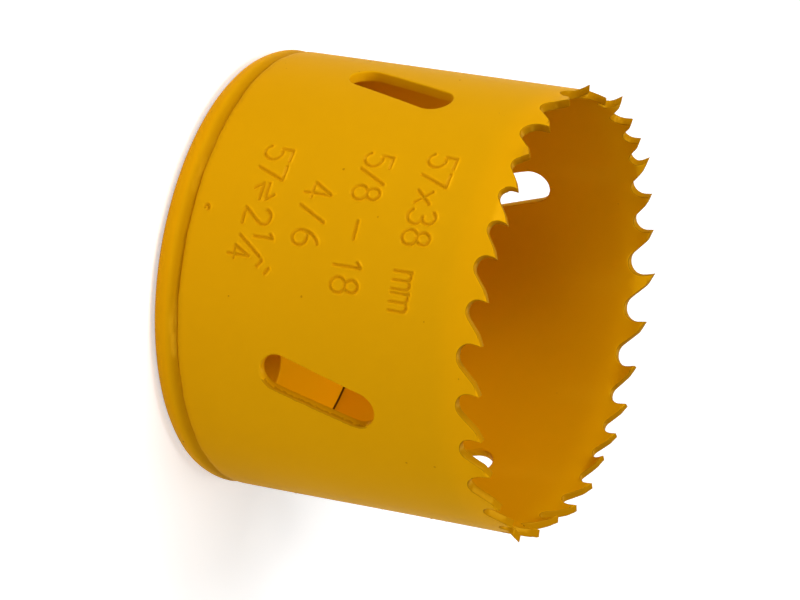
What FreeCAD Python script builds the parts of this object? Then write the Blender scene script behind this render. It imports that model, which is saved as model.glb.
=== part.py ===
import FreeCAD, Part
import math
import os

os.makedirs("parts", exist_ok=True)

# Hole saw that stands on its back, with its teeth up. The origin is the middle of the
# back face and +Z is the axis of rotation. Angles run from -Y, positive towards +X, and
# the saw turns that way as it cuts. Sizes are in millimetres and degrees.

# Cup
body_diameter = 56.0
wall_thickness = 1.3
cup_height = 44.6

# End plate
plate_thickness = 5.7
shoulder_height = 4.1
weld_gap = 0.03
spigot_chamfer = 0.35
back_edge_radius = 2.7
weld_groove_depth = 0.42

# Arbor thread, 5/8 inch with 18 turns to the inch, at its minor diameter
thread_bore_diameter = 14.5
thread_chamfer = 0.7

# Drive pin holes
pin_hole_count = 4
pin_hole_diameter = 6.6
pin_circle_diameter = 26.0
pin_hole_angle = 83.0

# Slots that let the sawn plug be pushed out
slot_angles = (30.2, 126.0, 213.2, 299.8)
slot_length = 15.6
slot_width = 4.8
slot_slant = 17.5
slot_centre_height = 23.0

# Tooth strip: each letter is the pitch from one tip to the next, from the seam round
strip_pattern = "CCCMFFFMCCCMMFFMMCCCCFFFMMCCCCM"
seam_angle = 80.5
least_seam_pitch = 3.2
coarse_pitch = 6.25
coarse_gullet_depth = 3.05
coarse_gullet_radius = 1.75
coarse_land = 1.65
middle_pitch = 5.35
middle_gullet_depth = 2.45
middle_gullet_radius = 1.4
middle_land = 1.5
fine_pitch = 4.6
fine_gullet_depth = 2.0
fine_gullet_radius = 1.15
fine_land = 1.3

# Tooth form. The set pattern tells for each tooth whether it leans out, in or not at all
rake_angle = 12.0
relief_angle = 25.0
tip_flat = 0.1
tooth_set = 0.85
set_share = 0.68
set_pattern = "SISSISSISOSSOSSOIOOSOSISSSSSISSO"

# Radii that the sizes above give
body_radius = body_diameter / 2
bore_radius = body_radius - wall_thickness
tip_radius = body_radius + tooth_set
spigot_radius = bore_radius - weld_gap

# Reach of a cutting tool past the face that it opens
reach = 3.0

TOOTH_KINDS = {
    "C": (coarse_pitch, coarse_gullet_depth, coarse_gullet_radius, coarse_land),
    "M": (middle_pitch, middle_gullet_depth, middle_gullet_radius, middle_land),
    "F": (fine_pitch, fine_gullet_depth, fine_gullet_radius, fine_land),
}

SET_WAYS = {"O": 1, "I": -1, "S": 0}

AXIS = FreeCAD.Vector(0, 0, 1)
ORIGIN = FreeCAD.Vector(0, 0, 0)


def point(x, y, z):
    return FreeCAD.Vector(x, y, z)


def turned(shape, angle):
    """A shape made on the -Y side, turned about the axis to its angle."""
    placed = shape.copy()
    placed.rotate(ORIGIN, AXIS, angle)
    return placed


def revolved(corners, start=0.0, sweep=360.0):
    """Solid of revolution of an outline of (radius, height) corners."""
    points = [point(0, -radius, height) for radius, height in corners]
    face = Part.Face(Part.makePolygon(points + points[:1]))
    return turned(face.revolve(ORIGIN, AXIS, sweep), start)


def tooth_steps():
    """Walks the strip from the seam: each tooth's letter and the pitch behind its tip."""
    left = math.pi * body_diameter
    steps = []
    while True:
        letter = strip_pattern[len(steps) % len(strip_pattern)]
        pitch = TOOTH_KINDS[letter][0]
        if left < pitch + least_seam_pitch:
            break
        steps.append((letter, pitch))
        left -= pitch
    closing = "C" if left >= coarse_pitch else "M" if left >= middle_pitch else "F"
    steps.append((closing, left))
    return steps


def gullet_cutter(letter, pitch, start):
    """The gap from one tip to the next: hooked face, round gullet, hollow back and land."""
    depth, radius, land = TOOTH_KINDS[letter][1:]
    half_angle = pitch / body_radius / 2
    left = -tip_radius * math.sin(half_angle)
    right = -left
    rake = math.radians(rake_angle)
    relief = math.radians(relief_angle)
    # The round gullet touches the face, which leans back under the tip
    centre_z = cup_height - depth + radius
    centre_x = left + (radius + (centre_z - cup_height) * math.sin(rake)) / math.cos(rake)
    face_end = point(centre_x - radius * math.cos(rake), 0, centre_z + radius * math.sin(rake))
    bottom = point(centre_x, 0, cup_height - depth)
    # The hollow back leaves the gullet along its tangent and ends at the land
    kink_x = right - tip_flat - land * math.cos(relief)
    kink_z = cup_height - land * math.sin(relief)
    away = math.atan2(kink_z - centre_z, kink_x - centre_x)
    turn = math.acos(radius / math.hypot(kink_x - centre_x, kink_z - centre_z))
    back_start = point(
        centre_x + radius * math.cos(away - turn), 0, centre_z + radius * math.sin(away - turn)
    )
    above = cup_height + reach
    edges = [
        Part.LineSegment(point(left, 0, above), point(left, 0, cup_height)),
        Part.LineSegment(point(left, 0, cup_height), face_end),
        Part.Arc(face_end, bottom, back_start),
        Part.LineSegment(back_start, point(kink_x, 0, kink_z)),
        Part.LineSegment(point(kink_x, 0, kink_z), point(right - tip_flat, 0, cup_height)),
        Part.LineSegment(point(right - tip_flat, 0, cup_height), point(right - tip_flat, 0, above)),
        Part.LineSegment(point(right - tip_flat, 0, above), point(left, 0, above)),
    ]
    face = Part.Face(Part.Wire([edge.toShape() for edge in edges]))
    face.translate(point(0, -tip_radius - reach, 0))
    cutter = face.extrude(point(0, wall_thickness + 2 * tooth_set + 2 * reach, 0))
    return turned(cutter, start + math.degrees(half_angle))


def set_teeth(steps, starts, cutters):
    """For the teeth that lean: the sectors cut off the upright wall, and the leaning tops."""
    upright = []
    leaning = []
    for place, (letter, pitch) in enumerate(steps):
        lean = tooth_set * SET_WAYS[set_pattern[place % len(set_pattern)]]
        if not lean:
            continue
        ahead = (place + 1) % len(steps)
        depth = min(TOOTH_KINDS[letter][1], TOOTH_KINDS[steps[ahead][0]][1])
        bend = cup_height - set_share * depth
        sweep = math.degrees(pitch / body_radius)
        above = cup_height + reach
        sector = [
            (bore_radius - reach, bend),
            (body_radius + reach, bend),
            (body_radius + reach, above),
            (bore_radius - reach, above),
        ]
        top = [
            (bore_radius, bend),
            (body_radius, bend),
            (body_radius + lean, cup_height),
            (bore_radius + lean, cup_height),
        ]
        upright.append(revolved(sector, starts[place], sweep))
        leaning.append(revolved(top, starts[place], sweep).cut([cutters[place], cutters[ahead]]))
    return upright, leaning


def slot_cutter(angle):
    """A round-ended slot through the wall, its length slanted from the axis."""
    half_run = (slot_length - slot_width) / 2
    half_width = slot_width / 2
    edges = [
        Part.LineSegment(point(-half_width, 0, -half_run), point(-half_width, 0, half_run)),
        Part.Arc(
            point(-half_width, 0, half_run),
            point(0, 0, half_run + half_width),
            point(half_width, 0, half_run),
        ),
        Part.LineSegment(point(half_width, 0, half_run), point(half_width, 0, -half_run)),
        Part.Arc(
            point(half_width, 0, -half_run),
            point(0, 0, -half_run - half_width),
            point(-half_width, 0, -half_run),
        ),
    ]
    face = Part.Face(Part.Wire([edge.toShape() for edge in edges]))
    face.rotate(ORIGIN, FreeCAD.Vector(0, 1, 0), slot_slant)
    face.translate(point(0, -body_radius - reach, slot_centre_height))
    return turned(face.extrude(point(0, wall_thickness + 2 * reach, 0)), angle)


def cup_wall():
    """The rolled strip: a plain ring, the teeth cut and set on its edge, and the slots."""
    wall = revolved(
        [
            (bore_radius, shoulder_height),
            (body_radius, shoulder_height),
            (body_radius, cup_height),
            (bore_radius, cup_height),
        ]
    )
    steps = tooth_steps()
    starts = [seam_angle]
    for letter, pitch in steps:
        starts.append(starts[-1] + math.degrees(pitch / body_radius))
    cutters = []
    for (letter, pitch), start in zip(steps, starts):
        cutters.append(gullet_cutter(letter, pitch, start))
    upright, leaning = set_teeth(steps, starts, cutters)
    wall = wall.cut(cutters + upright + [slot_cutter(angle) for angle in slot_angles])
    return wall.fuse(leaning).removeSplitter()


def thread_cutter():
    """The arbor hole through the end plate, with a chamfer at each mouth."""
    radius = thread_bore_diameter / 2
    mouth = radius + thread_chamfer
    corners = [
        (0, -reach),
        (mouth, -reach),
        (mouth, 0),
        (radius, thread_chamfer),
        (radius, plate_thickness - thread_chamfer),
        (mouth, plate_thickness),
        (mouth, plate_thickness + reach),
        (0, plate_thickness + reach),
    ]
    return revolved(corners)


def pin_hole_cutter():
    """A plain round hole through the end plate, on the circle of drive pins."""
    radius = pin_hole_diameter / 2
    top = plate_thickness + reach
    cutter = revolved([(0, -reach), (radius, -reach), (radius, top), (0, top)])
    cutter.translate(point(0, -pin_circle_diameter / 2, 0))
    return cutter


def end_plate():
    """The turned disc: rounded back edge, weld groove, shoulder and spigot."""
    inset = back_edge_radius * (1 - math.sqrt(0.5))
    corner_foot = point(0, back_edge_radius - body_radius, 0)
    corner_middle = point(0, inset - body_radius, inset)
    corner_side = point(0, -body_radius, back_edge_radius)
    groove = point(0, weld_groove_depth - body_radius, shoulder_height)
    shoulder = point(0, -spigot_radius, shoulder_height)
    spigot_top = point(0, -spigot_radius, plate_thickness - spigot_chamfer)
    floor_edge = point(0, spigot_chamfer - spigot_radius, plate_thickness)
    floor_middle = point(0, 0, plate_thickness)
    edges = [
        Part.LineSegment(ORIGIN, corner_foot),
        Part.Arc(corner_foot, corner_middle, corner_side),
        Part.LineSegment(corner_side, groove),
        Part.LineSegment(groove, shoulder),
        Part.LineSegment(shoulder, spigot_top),
        Part.LineSegment(spigot_top, floor_edge),
        Part.LineSegment(floor_edge, floor_middle),
        Part.LineSegment(floor_middle, ORIGIN),
    ]
    face = Part.Face(Part.Wire([edge.toShape() for edge in edges]))
    disc = face.revolve(ORIGIN, AXIS, 360)
    holes = [thread_cutter()]
    for place in range(pin_hole_count):
        holes.append(turned(pin_hole_cutter(), pin_hole_angle + place * 360 / pin_hole_count))
    return disc.cut(holes)


def main():
    pieces = {"cup_wall": cup_wall(), "end_plate": end_plate()}
    for name, shape in pieces.items():
        shape.exportStep(f"parts/{name}.step")
        print(name, "volume in cubic mm:", round(shape.Volume, 1))


main()
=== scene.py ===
import bmesh
import bpy
import math
import numpy as np
from mathutils import Matrix, Vector
from mathutils.geometry import delaunay_2d_cdt
from mathutils.kdtree import KDTree


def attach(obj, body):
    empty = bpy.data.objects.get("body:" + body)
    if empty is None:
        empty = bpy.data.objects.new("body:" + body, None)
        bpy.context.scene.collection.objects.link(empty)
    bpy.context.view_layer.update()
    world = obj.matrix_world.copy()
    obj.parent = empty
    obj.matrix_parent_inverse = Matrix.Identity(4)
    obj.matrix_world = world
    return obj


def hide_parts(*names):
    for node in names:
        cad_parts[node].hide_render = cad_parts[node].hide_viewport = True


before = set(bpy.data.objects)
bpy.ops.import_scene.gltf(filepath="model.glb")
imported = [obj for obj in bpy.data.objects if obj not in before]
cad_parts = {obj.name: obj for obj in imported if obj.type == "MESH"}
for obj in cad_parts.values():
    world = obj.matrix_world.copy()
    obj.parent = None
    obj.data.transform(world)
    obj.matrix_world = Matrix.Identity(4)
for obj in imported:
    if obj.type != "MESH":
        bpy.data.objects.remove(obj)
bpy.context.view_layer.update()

# A painted hole saw that stands on its back. The toothed strip and the end plate are laid
# out flat in millimetres, given soft paint edges and pressed marks, and then rolled or
# turned into place in metres. Angles run from -Y, positive towards +X.

MM = 0.001

# Points nearer than this are made one
MERGE_REACH = 0.002

# Cup
BODY_RADIUS = 28.0
WALL = 1.3
CUP_HEIGHT = 44.6
SHOULDER_HEIGHT = 4.1
GIRTH = 2 * math.pi * BODY_RADIUS

# Teeth: pitch, gullet depth, gullet radius and land for coarse, middle and fine
STRIP_PATTERN = "CCCMFFFMCCCMMFFMMCCCCFFFMMCCCCM"
TOOTH_KINDS = {"C": (6.25, 3.05, 1.75, 1.65), "M": (5.35, 2.45, 1.4, 1.5), "F": (4.6, 2.0, 1.15, 1.3)}
SEAM_ANGLE = 80.5
LEAST_SEAM_PITCH = 3.2
RAKE_ANGLE = 12.0
RELIEF_ANGLE = 25.0
TIP_FLAT = 0.1

# How each tooth is set, from the seam round: wide, outwards, a little outwards, straight, a
# little inwards or inwards, as a share of the tooth set. It leans from a share of its gullet's
# depth upwards, another share for the teeth set inwards, and part of the lean is a curve
TOOTH_SET = 0.85
SET_PATTERN = "SISSISSiSWSSOSSOiWoSOSiSSSSSiSSW"
SET_WAYS = {"W": 1.3, "O": 1.05, "o": 0.8, "S": 0.0, "i": -0.7, "I": -1.05}
SET_SHARE = 0.68
INWARD_SHARE = 1.0
SET_CURVE = 0.25

# Thinner teeth: by how much on the inner side, and how far below the tips that begins and ends
TOOTH_THINNING = 0.28
THINNING_START = 4.4
THINNING_END = 1.6

# Slots
SLOT_ANGLES = (30.2, 126.0, 213.2, 299.8)
SLOT_LENGTH = 15.6
SLOT_WIDTH = 4.8
SLOT_SLANT = 17.5
SLOT_CENTRE_HEIGHT = 23.0

# End plate. Halfway to the back edge the weld groove keeps a share of its depth
PLATE = 5.7
SPIGOT_RADIUS = 26.67
SPIGOT_CHAMFER = 0.35
BACK_EDGE_RADIUS = 2.7
GROOVE_DEPTH = 0.42
GROOVE_MIDDLE = 0.3
THREAD_MINOR_RADIUS = 7.25
THREAD_DEPTH = 0.66
THREAD_PITCH = 25.4 / 18
THREAD_CHAMFER = 0.7
PIN_CIRCLE_RADIUS = 13.0
PIN_HOLE_RADIUS = 3.3
PIN_HOLE_ANGLE = 83.0
PIN_HOLE_COUNT = 4

# Radius of the soft round that the paint gives each kind of edge
TOOTH_ROUND = 0.1
SLOT_ROUND_OUTSIDE = 0.16
SLOT_ROUND_INSIDE = 0.12
FOOT_ROUND = 0.3
FOOT_ROUND_INSIDE = 0.01
HOLE_ROUND = 0.2
MOUTH_ROUND = 0.12

# How far a sharp corner is eased at a tooth's kink and tip, and at most of its side's length
KINK_EASE = 0.35
TIP_EASE = 0.06
MOST_EASE = 0.45

# Steps between points, and how far the grid's points stay from edges and foot
EDGE_STEP = 0.27
FOOT_STEP = 0.648
SHEET_STEP = 1.1
MARK_STEP = 0.13
EDGE_CLEAR = 0.75
FOOT_CLEAR = 0.9

# Rows of points past a round: how far past, and one of how many points they keep. A point
# stays where no other edge is nearer than this share of its own distance
ROWS_PAST = ((0.22, 2), (0.6, 3))
ROW_SHARE = 0.96
INNER_FOOT_ROWS = 0.1

# The cut where the strip's ends meet: how far its points stay from foot and gullet, how many
# they are, how far other points stay from it, and how far the edges run on past it
SEAM_END_CLEAR = 0.7
SEAM_POINTS = 36
SEAM_CLEAR = 0.03
EDGE_LAP = 12
FOOT_LAP = 1.0

# Pressed strokes: half width, depth, the share by which they are narrower towards the teeth
# and twice as much wider away from them
STROKE_REACH = 0.26
STROKE_DEPTH = 0.24
STROKE_SKEW = 0.2

# Rows of points beside a stroke, their turns round its ends, the gaps that they keep, the
# step at which a stroke's distance is taken and how far the grid stays from it
STROKE_ROWS = (0.09, 0.18, 0.27, 0.35, 0.45, 0.56)
STROKE_END_TURNS = (-0.9, 0.0, 0.9)
STROKE_GAP = 0.052
STROKE_SAMPLE = 0.04
STROKE_CLEAR = 0.65

# The lip beside a stroke, high towards the teeth: height, its share straight beside, place
# past the stroke, the widths of its slopes, and the strength of the painted highlight on it
LIP_HEIGHT = 0.14
LIP_BESIDE = 0.2
LIP_PLACE = 0.06
LIP_INSIDE = 0.07
LIP_OUTSIDE = 0.13
LIP_PAINTED_HIGHLIGHT = 1.6

# The ragged side of one slot: its line's width, its wall's share of the painted shade on a
# cut face, and how far it reaches in from the slot's edge and past its ends
TORN_WIDTH = 0.2
TORN_FACE = 0.25
TORN_INWARDS = 0.6
TORN_PAST = 1.0

# Painted light near the teeth, a brighter paint colour: how far below the tips it begins and is full
PAINTED_GLOW_START = 6.5
PAINTED_GLOW_END = 3.2

# Part of a tooth's round that carries the dark line, and the width that counts as cut face
EDGE_LINE = (0.2, 0.9)
CUT_WIDTH = 0.02

# Waves of the weld: size, number round the saw and shift. Then its depth and reach in the
# wall, how deep and how wide its painted shade is there, and its depth, level and painted
# shade in the plate
WELD_WAVES = ((0.5, 23, 0.4), (0.34, 41, 1.9), (0.3, 67, 4.0), (0.22, 9, 2.2))
WELD_DEPTH = 0.07
WELD_REACH = 0.45
WELD_SHADE = 2.5
WELD_SHADE_REACH = 0.4
PLATE_WELD_DEPTH = 0.1
PLATE_WELD_LEVEL = 0.8
PLATE_WELD_SHADE = 9.0
PLATE_WELD_MOST = 4.0

# Waves of the rolled wall and of the plate's rim: size, number round the saw, turn with
# height and shift. They grow to their size over this height
WALL_WAVES = ((0.011, 5, 0.16, 0.0), (0.009, 11, -0.23, 1.0))
WALL_WAVE_RISE = 3.0
RIM_WAVES = ((0.022, 7, 0.6, 0.0), (0.0154, 17, -0.5, 2.0))
RIM_WAVE_RISE = 1.0

# Points round the rim, the thread and a pin hole, and rows up the thread
RIM_POINTS = 360
THREAD_POINTS = 144
PIN_POINTS = 56
THREAD_ROWS = 58

# Rings of points on the plate's flat faces: the first one's radius, their step, points for
# each mm of radius, how clear they stay of holes, and how far from the edge rows, rings and
# the last ring end
RING_START = 9.2
RING_STEP = 1.3
RING_POINTS = 4
RING_CLEAR = 0.9
ROW_END = 0.2
RING_END = 0.4
LAST_RING = 0.25


class Wire:
    """A node socket on which + - * / and ** add Math nodes."""

    def __init__(self, maker, socket):
        self.maker = maker
        self.socket = socket

    def __add__(self, other):
        return self.maker.maths("ADD", self, other)

    def __radd__(self, other):
        return self.maker.maths("ADD", other, self)

    def __sub__(self, other):
        return self.maker.maths("SUBTRACT", self, other)

    def __rsub__(self, other):
        return self.maker.maths("SUBTRACT", other, self)

    def __mul__(self, other):
        return self.maker.maths("MULTIPLY", self, other)

    def __rmul__(self, other):
        return self.maker.maths("MULTIPLY", other, self)

    def __truediv__(self, other):
        return self.maker.maths("DIVIDE", self, other)

    def __rtruediv__(self, other):
        return self.maker.maths("DIVIDE", other, self)

    def __pow__(self, other):
        return self.maker.maths("POWER", self, other)

    def __rpow__(self, other):
        return self.maker.maths("POWER", other, self)


class Maker:
    """Adds nodes to one tree."""

    def __init__(self, tree):
        self.tree = tree
        tree.nodes.clear()

    def node(self, kind, inputs=None, settings=None, output=0):
        """A new node with its inputs and settings, and the wire of one of its outputs."""
        made = self.tree.nodes.new(kind)
        for name, value in (settings or {}).items():
            setattr(made, name, value)
        for name, value in (inputs or {}).items():
            if isinstance(value, Wire):
                self.tree.links.new(value.socket, made.inputs[name])
            else:
                made.inputs[name].default_value = value
        return Wire(self, made.outputs[output]) if len(made.outputs) else made

    def maths(self, operation, *terms):
        """A Math node."""
        return self.node("ShaderNodeMath", dict(enumerate(terms)), {"operation": operation})

    def other(self, wire, output):
        """Another output of the node that a wire comes from."""
        return Wire(self, wire.socket.node.outputs[output])

    def blend(self, factor, first, second):
        """Mix of two colours."""
        settings = {"data_type": "RGBA", "clamp_factor": True}
        return self.node("ShaderNodeMix", {0: factor, 6: first, 7: second}, settings, 2)


def paint_colour(*shown):
    """Linear colour from the red, green and blue that are shown, each from 0 to 255."""
    linear = [((part / 255 + 0.055) / 1.055) ** 2.4 if part > 10 else part / 255 / 12.92 for part in shown]
    return (*linear, 1.0)


# Flat outlines


def along(points, step):
    """The line with its long parts divided, at most a step apart."""
    made = [points[0]]
    for start, end in zip(points[:-1], points[1:]):
        count = max(1, math.ceil(math.dist(start, end) / step))
        for part in range(1, count + 1):
            share = part / count
            made.append((start[0] + (end[0] - start[0]) * share, start[1] + (end[1] - start[1]) * share))
    return made


def arc(cx, cy, rx, ry, start, end, count):
    """Points of an elliptic arc, its angles in degrees."""
    turns = [math.radians(start + (end - start) * part / count) for part in range(count + 1)]
    return [(cx + rx * math.cos(turn), cy + ry * math.sin(turn)) for turn in turns]


def curved(start, control, end, t):
    """The place at share t of a curve that leaves and reaches its ends towards a control point."""
    weights = ((1 - t) ** 2, 2 * t * (1 - t), t * t)
    return tuple(sum(w * p[i] for w, p in zip(weights, (start, control, end))) for i in (0, 1))


def eased(before, corner, after, reach, count=4):
    """A rounded corner in place of a sharp one."""
    ends = []
    for other in (before, after):
        length = math.dist(corner, other)
        share = min(reach, length * MOST_EASE) / length
        ends.append((corner[0] + (other[0] - corner[0]) * share, corner[1] + (other[1] - corner[1]) * share))
    return [curved(ends[0], corner, ends[1], part / count) for part in range(count + 1)]


def tooth_steps():
    """Each tooth's kind and the pitch behind its tip, from the seam round."""
    left = GIRTH
    steps = []
    while True:
        letter = STRIP_PATTERN[len(steps) % len(STRIP_PATTERN)]
        pitch = TOOTH_KINDS[letter][0]
        if left < pitch + LEAST_SEAM_PITCH:
            break
        steps.append((letter, pitch))
        left -= pitch
    closing = "C" if left >= TOOTH_KINDS["C"][0] else "M" if left >= TOOTH_KINDS["M"][0] else "F"
    steps.append((closing, left))
    return steps


def gullet(letter, pitch, start):
    """One gap between two tips: face, gullet, back, eased kink and land, and its middle's index."""
    depth, radius, land = TOOTH_KINDS[letter][1:]
    half = pitch / 2
    rake = math.radians(RAKE_ANGLE)
    relief = math.radians(RELIEF_ANGLE)
    centre_z = CUP_HEIGHT - depth + radius
    centre_x = -half + (radius + (centre_z - CUP_HEIGHT) * math.sin(rake)) / math.cos(rake)
    kink = (half - TIP_FLAT - land * math.cos(relief), CUP_HEIGHT - land * math.sin(relief))
    away = math.atan2(kink[1] - centre_z, kink[0] - centre_x)
    turn = math.acos(radius / math.hypot(kink[0] - centre_x, kink[1] - centre_z))
    last = math.degrees(away - turn)
    down = arc(centre_x, centre_z, radius, radius, 180 - RAKE_ANGLE, 270, 7)
    up = arc(centre_x, centre_z, radius, radius, 270, last + 360, 9)[1:]
    tip = (half - TIP_FLAT / 2, CUP_HEIGHT)
    line = [(-half - TIP_FLAT / 2, CUP_HEIGHT)] + down
    bottom = len(line) - 1
    line += up + eased(up[-1], kink, tip, KINK_EASE) + [tip]
    return [(start + half + x, z) for x, z in line], bottom


def toothed_edge():
    """The cut edge once round, from a gullet's bottom to the same place, and the tips' places."""
    steps = tooth_steps()
    starts = [math.radians(SEAM_ANGLE) * BODY_RADIUS]
    for letter, pitch in steps:
        starts.append(starts[-1] + pitch)
    gullets = [gullet(letter, pitch, start) for (letter, pitch), start in zip(steps, starts)]
    first, bottom = gullets[0]
    lines = [first[bottom:]] + [line for line, middle in gullets[1:]]
    lines.append([(run + GIRTH, z) for run, z in first[: bottom + 1]])
    edge = [lines[0][0]]
    for line, following in zip(lines[:-1], lines[1:]):
        edge += along(line[:-1], EDGE_STEP)[1:]
        edge += eased(line[-2], line[-1], following[1], TIP_EASE)
    edge += along(lines[-1][1:], EDGE_STEP)
    return edge, starts


def slot_outline(angle):
    """A round-ended slot that leans from the axis."""
    half_run = (SLOT_LENGTH - SLOT_WIDTH) / 2
    ends = arc(0, half_run, SLOT_WIDTH / 2, SLOT_WIDTH / 2, 0, 180, 26)
    ends += arc(0, -half_run, SLOT_WIDTH / 2, SLOT_WIDTH / 2, 180, 360, 26)
    lean = math.radians(SLOT_SLANT)
    line = []
    for x, z in along(ends + ends[:1], EDGE_STEP)[:-1]:
        across = x * math.cos(lean) + z * math.sin(lean)
        height = z * math.cos(lean) - x * math.sin(lean)
        run = BODY_RADIUS * (math.radians(angle) + math.asin(across / BODY_RADIUS))
        line.append((run, SLOT_CENTRE_HEIGHT + height))
    return line


# Pressed marks

OVAL_TOP = arc(0.27, 0.76, 0.21, 0.24, 90, 450, 16)
OVAL_FOOT = arc(0.27, 0.27, 0.26, 0.27, 90, 450, 18)
SIGNS = {
    "1": [[(0.1, 0.84), (0.27, 1.0), (0.27, 0.0)]],
    "2": [arc(0.27, 0.74, 0.26, 0.26, 170, -38, 12) + [(0.0, 0.0), (0.56, 0.0)]],
    "3": [arc(0.25, 0.76, 0.23, 0.24, 150, -90, 12), arc(0.25, 0.27, 0.27, 0.27, 90, -150, 13)],
    "4": [[(0.4, 0.0), (0.4, 1.0), (0.0, 0.3), (0.56, 0.3)]],
    "5": [[(0.5, 1.0), (0.08, 1.0), (0.05, 0.56)] + arc(0.25, 0.32, 0.28, 0.32, 130, -148, 14)],
    "6": [OVAL_FOOT, arc(0.62, 0.3, 0.61, 0.7, 110, 176, 8)],
    "7": [[(0.0, 1.0), (0.54, 1.0), (0.16, 0.0)]],
    "8": [OVAL_TOP, OVAL_FOOT],
    "x": [[(0.04, 0.62), (0.5, 0.08)], [(0.5, 0.62), (0.04, 0.08)]],
    "m": [
        [(0.0, 0.66), (0.0, 0.0)],
        [(0.0, 0.4)] + arc(0.15, 0.44, 0.15, 0.2, 180, 0, 7) + [(0.3, 0.0)],
        [(0.3, 0.4)] + arc(0.45, 0.44, 0.15, 0.2, 180, 0, 7) + [(0.6, 0.0)],
    ],
    "/": [[(0.02, 0.0), (0.52, 1.0)]],
    "-": [[(0.0, 0.52), (0.62, 0.52)]],
    "=": [[(0.0, 0.6), (0.6, 0.6), (0.38, 0.88)], [(0.6, 0.4), (0.0, 0.4), (0.22, 0.12)]],
    '"': [[(0.0, 0.96), (0.3, 0.74)], [(0.33, 1.37), (0.58, 1.19)]],
    " ": [],
}

# Each row: its signs, where it starts, its base height, the signs' height and their pitch
MARK_ROWS = (
    ("57x38 mm", -17.6, 32.2, 3.6, 2.62),
    ("5/8 - 18", -16.4, 24.25, 3.6, 2.33),
    ("4/6", -11.2, 18.15, 3.6, 3.1),
    ("57", -15.3, 11.2, 3.6, 2.6),
    ("=2", -10.1, 11.2, 3.6, 3.35),
    ("1", -4.0, 13.1, 2.6, 2.0),
    ("4", -1.9, 10.1, 2.8, 2.0),
    ('"', -0.5, 12.3, 2.6, 2.0),
)
FRACTION_BAR = [(-3.2, 11.3), (-0.95, 14.35)]
NICK = arc(-5.9, 6.05, 0.35, 0.28, 60, 250, 6)


def mark_strokes():
    """Centre lines of all pressed strokes, in run and height."""
    strokes = [FRACTION_BAR, NICK]
    for signs, run, base, height, pitch in MARK_ROWS:
        for place, sign in enumerate(signs):
            for line in SIGNS[sign]:
                strokes.append([(run + place * pitch + x * height, base + y * height) for x, y in line])
    return strokes


def stroke_spots(line, index, offset):
    """Points at one offset beside a point of a stroke, and round the stroke's end."""
    x, z = line[index]
    before = line[max(index - 1, 0)]
    after = line[min(index + 1, len(line) - 1)]
    length = math.dist(before, after)
    way = ((after[0] - before[0]) / length, (after[1] - before[1]) / length)
    side = (-way[1], way[0])
    spots = [(x + side[0] * offset, z + side[1] * offset)]
    if offset > 0 and index in (0, len(line) - 1):
        for turn in STROKE_END_TURNS:
            ahead = offset * math.cos(turn) * (1 if index else -1)
            across = offset * math.sin(turn)
            spots.append((x + way[0] * ahead + side[0] * across, z + way[1] * ahead + side[1] * across))
    return spots


def mark_points(strokes):
    """Points on and beside the strokes, where the sheet is dented."""
    wanted = []
    for offset in [0.0] + [side * row for row in STROKE_ROWS for side in (1, -1)]:
        for stroke in strokes:
            line = along(stroke, MARK_STEP)
            for index in range(len(line)):
                wanted += stroke_spots(line, index, offset)
    points = []
    taken = {}
    for spot in wanted:
        cell = (round(spot[0] / STROKE_GAP), round(spot[1] / STROKE_GAP))
        near = [taken.get((cell[0] + i, cell[1] + j)) for i in (-1, 0, 1) for j in (-1, 0, 1)]
        if all(other is None or math.dist(other, spot) > STROKE_GAP for other in near):
            taken[cell] = spot
            points.append(spot)
    return points


# Distance to edges


def nearest_tree(points):
    """A tree that finds the nearest of flat points."""
    tree = KDTree(len(points))
    for index, (x, y) in enumerate(points):
        tree.insert((x, y, 0.0), index)
    tree.balance()
    return tree


class Edges:
    """Cut edges as chains of points, each chain with the radii of its rounds on both faces."""

    def __init__(self, chains):
        points = []
        parts = []
        rounds = []
        for line, closed, outside, inside in chains:
            first = len(points)
            count = len(line)
            for index in range(count):
                ahead = (index + 1) % count if closed else min(index + 1, count - 1)
                behind = (index - 1) % count if closed else max(index - 1, 0)
                parts.append((first + behind, first + ahead))
            points += line
            rounds += [(outside, inside)] * count
        self.tree = nearest_tree(points)
        self.points = np.array(points)
        self.parts = np.array(parts)
        self.rounds = np.array(rounds)

    def reach(self, spots):
        """Distance of each spot to the nearest edge, and that edge's two radii."""
        spots = np.asarray(spots, float)
        nearest = np.array([self.tree.find((x, y, 0.0))[1] for x, y in spots])
        here = self.points[nearest]
        best = np.full(len(spots), np.inf)
        for side in (0, 1):
            line = self.points[self.parts[nearest, side]] - here
            length = np.maximum((line**2).sum(1), 1e-12)
            share = np.clip(((spots - here) * line).sum(1) / length, 0, 1)
            best = np.minimum(best, np.linalg.norm(spots - here - line * share[:, None], axis=1))
        return best, self.rounds[nearest]


def round_steps(radius):
    """Distances from an edge at which a quarter round is given a row of points."""
    return [radius * (1 - math.cos(math.radians(turn))) for turn in (30, 60, 90)]


def round_drop(distance, radius):
    """How far a face lies below its level, so near to its edge."""
    inside = np.clip(radius - distance, 0, radius)
    return radius - np.sqrt(np.maximum(radius**2 - inside**2, 0))


def edge_rows(line, closed, radius, outward):
    """Rows of points that follow an edge inside the sheet: the round's own and a few beyond."""
    rows = []
    spots = np.array(line)
    ahead = np.roll(spots, -1, 0)
    behind = np.roll(spots, 1, 0)
    if not closed:
        ahead[-1] = spots[-1]
        behind[0] = spots[0]
    way = ahead - behind
    way /= np.linalg.norm(way, axis=1)[:, None]
    normal = np.stack([-way[:, 1], way[:, 0]], 1) * outward
    for distance in round_steps(radius):
        rows.append((distance, spots + normal * distance))
    for past, every in ROWS_PAST:
        rows.append((radius + past, (spots + normal * (radius + past))[::every]))
    return rows


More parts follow.
